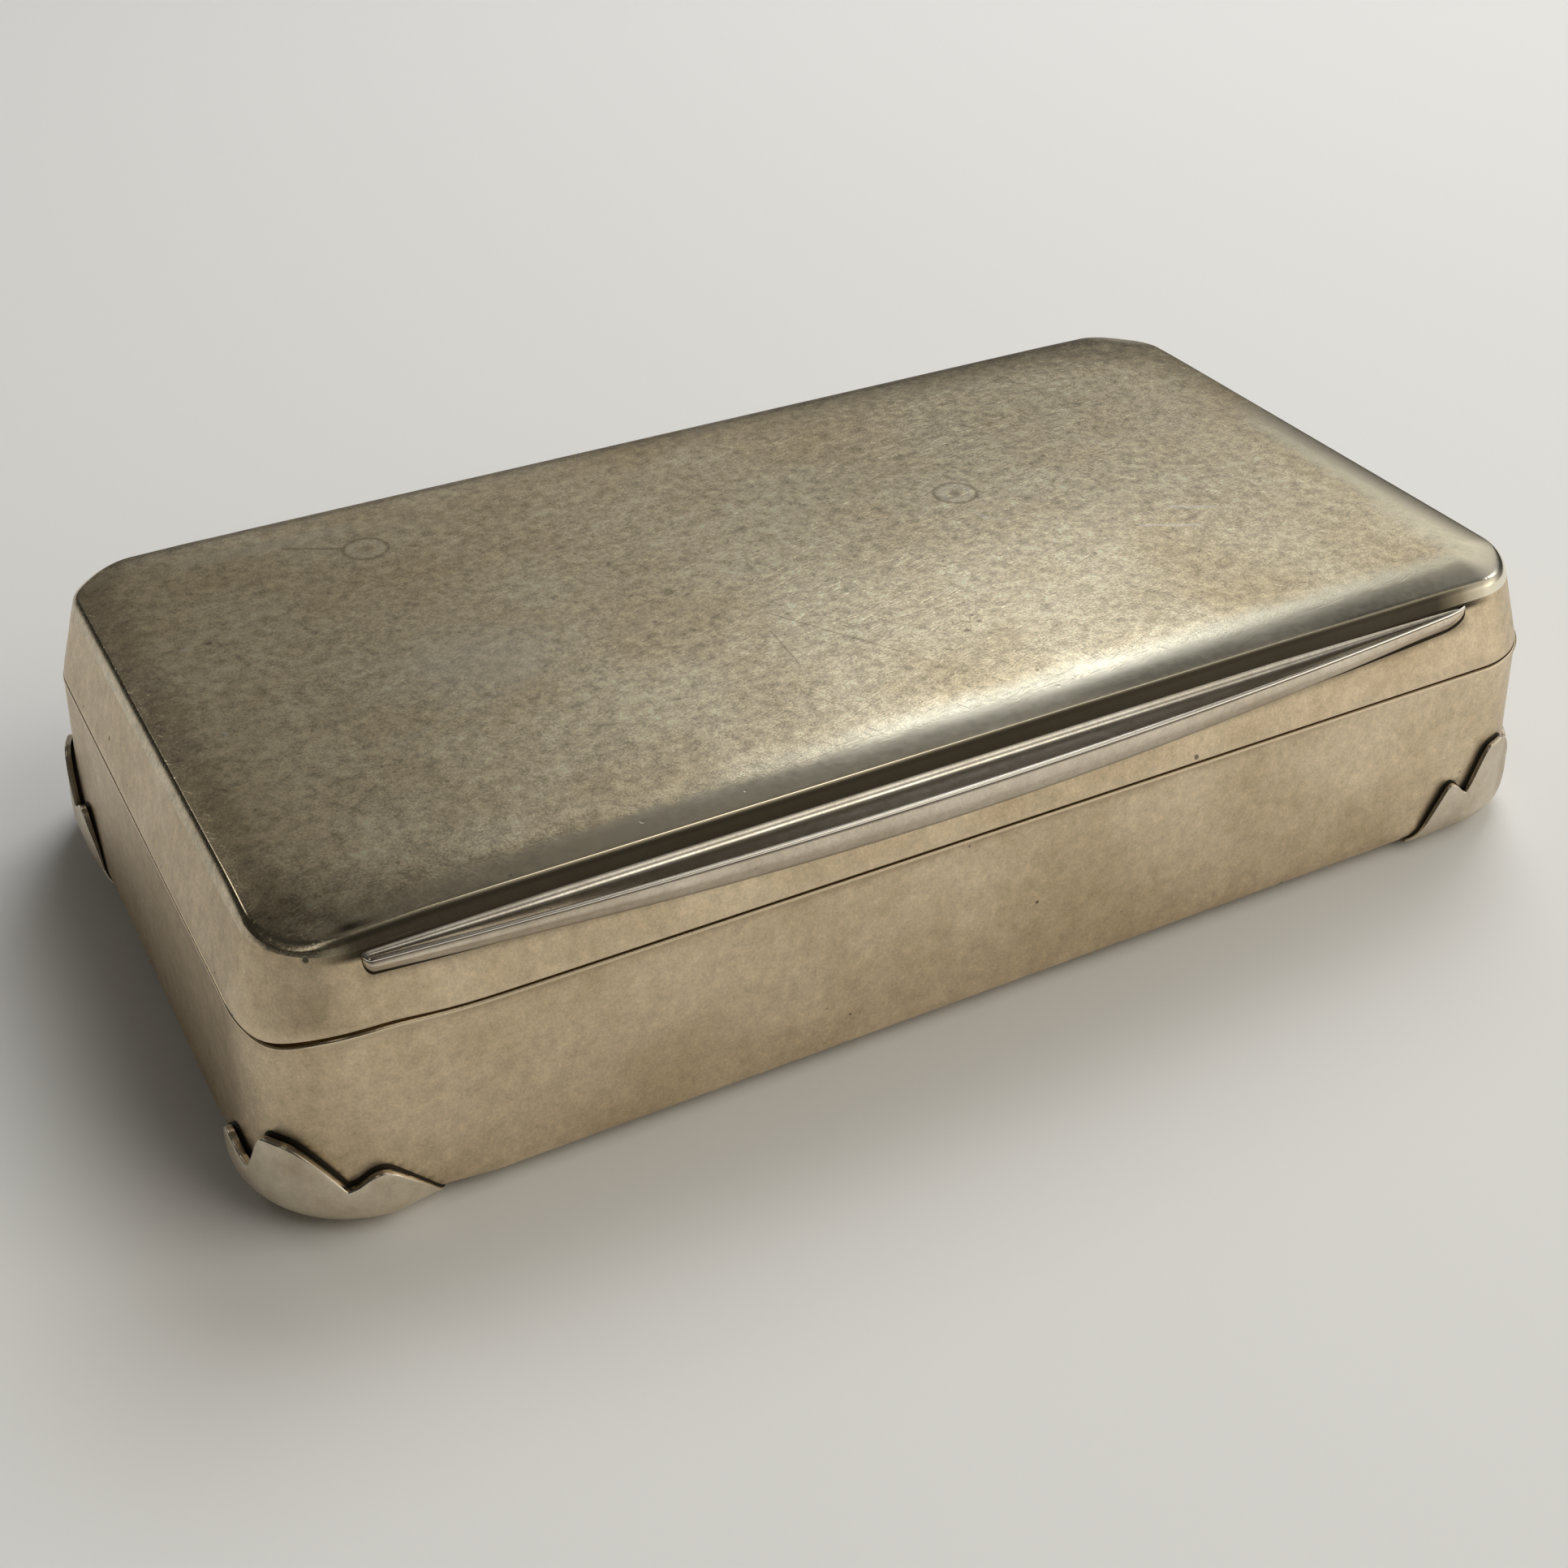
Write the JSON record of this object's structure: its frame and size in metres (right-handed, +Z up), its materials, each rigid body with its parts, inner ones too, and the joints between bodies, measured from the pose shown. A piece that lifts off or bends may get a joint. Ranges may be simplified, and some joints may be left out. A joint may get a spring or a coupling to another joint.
{
  "type": "snuff box",
  "caption": "Rectangular silver snuff box with rounded corners, a hinged lid with a crescent thumbpiece at the front, an inner rim, and scalloped mounts on the bottom corners",
  "frame": {"origin": "middle of the box's footprint, on the plane that the soles of the corner mounts stand on", "axes": "+X along the length, to the right when the thumbpiece faces the viewer; +Y towards the hinge at the back; +Z up"},
  "size_m": [0.091, 0.0514, 0.019],
  "materials": {
    "body_silver": "worn, softly tarnished sterling silver with small pits",
    "lid_silver": "worn satin silver with fine scratches, border and arris polished",
    "mount_silver": "worn, tarnished silver sheet, bright on its edges",
    "thumbpiece_silver": "polished silver, bright on the crest",
    "hinge_silver": "drawn silver tube and strip, dark in the joints",
    "gilt_rim": "silver, gilt, satin"
  },
  "bodies": {
    "box": {"base_band": "body_silver", "base_plate": "body_silver", "bezel_strip": "gilt_rim", "corner_mount_front_left": "mount_silver", "corner_mount_front_right": "mount_silver", "corner_mount_back_left": "mount_silver", "corner_mount_back_right": "mount_silver", "body_hinge_bearer": "hinge_silver", "body_knuckle_left": "hinge_silver", "body_knuckle_centre": "hinge_silver", "body_knuckle_right": "hinge_silver", "hinge_pin": "hinge_silver", "hinge_plug_left": "hinge_silver", "hinge_plug_right": "hinge_silver"},
    "lid": {"lid_band": "lid_silver", "lid_top": "lid_silver", "thumbpiece": "thumbpiece_silver", "lid_hinge_bearer": "hinge_silver", "lid_knuckle_left": "hinge_silver", "lid_knuckle_right": "hinge_silver"}
  },
  "joints": [
    {"name": "lid_hinge", "type": "hinge", "parent": "box", "child": "lid", "pos_m": [0, 0.0242, 0.013], "axis": [-1, 0, 0], "range_deg": [0, 105]}
  ]
}
